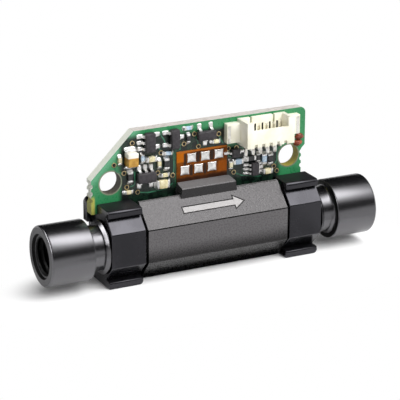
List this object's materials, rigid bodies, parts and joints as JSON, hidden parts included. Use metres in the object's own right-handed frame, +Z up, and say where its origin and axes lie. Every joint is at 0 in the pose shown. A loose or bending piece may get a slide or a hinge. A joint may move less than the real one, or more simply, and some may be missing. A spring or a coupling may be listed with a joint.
{
  "type": "liquid flow sensor",
  "caption": "Inline liquid flow sensor: straight flow body with a threaded port at each end, end clips with feet, and an upright circuit board with a wire connector.",
  "frame": {"origin": "on the surface that the clips' feet stand on, below the middle of the flow axis", "axes": "+X along the flow from inlet to outlet, +Y from the front of the circuit board to its back, +Z up from the feet"},
  "size_m": [0.054, 0.0092, 0.0223],
  "materials": {
    "fitting_black": "turned black engineering plastic with a satin gloss",
    "clip_black": "moulded black plastic, glossy",
    "housing_grey": "moulded anthracite plastic with a fine grain",
    "tube_glass": "clear drawn glass",
    "seal_rubber": "black elastomer",
    "silicon_grey": "polished silicon",
    "board_green": "glass laminate with green solder mask",
    "film_orange": "orange-brown polyimide film",
    "solder_tin": "bright tin",
    "contact_tin": "tin-plated bronze",
    "connector_ivory": "ivory moulded plastic",
    "mould_black": "black moulding compound",
    "ceramic_cream": "fired ceramic, cream to tan",
    "resistor_black": "black glaze",
    "film_blue": "blue-grey glaze",
    "tantalum_amber": "amber moulding compound",
    "lacquer_red": "dried red-brown lacquer"
  },
  "bodies": {
    "root": {"inlet_fitting": "fitting_black", "outlet_fitting": "fitting_black", "measuring_tube": "tube_glass", "inlet_seal": "seal_rubber", "outlet_seal": "seal_rubber", "sensor_chip": "silicon_grey", "housing_base": "housing_grey", "housing_cover": "housing_grey", "inlet_clip": "clip_black", "outlet_clip": "clip_black", "circuit_board": "board_green", "flex_circuit": "film_orange", "flex_solder_joints": "solder_tin", "connector_shell": "connector_ivory", "connector_contacts": "contact_tin", "connector_anchors": "contact_tin", "upper_left_chip": "mould_black", "upper_transistor": "mould_black", "lower_left_chip": "mould_black", "middle_transistor": "mould_black", "lower_right_chip": "mould_black", "rectifier_diode": "mould_black", "package_leads": "solder_tin", "ceramic_capacitors": "ceramic_cream", "chip_resistors": "resistor_black", "thin_film_resistors": "film_blue", "tantalum_capacitor": "tantalum_amber", "chip_end_caps": "solder_tin", "lacquer_drops": "lacquer_red"}
  },
  "joints": []
}
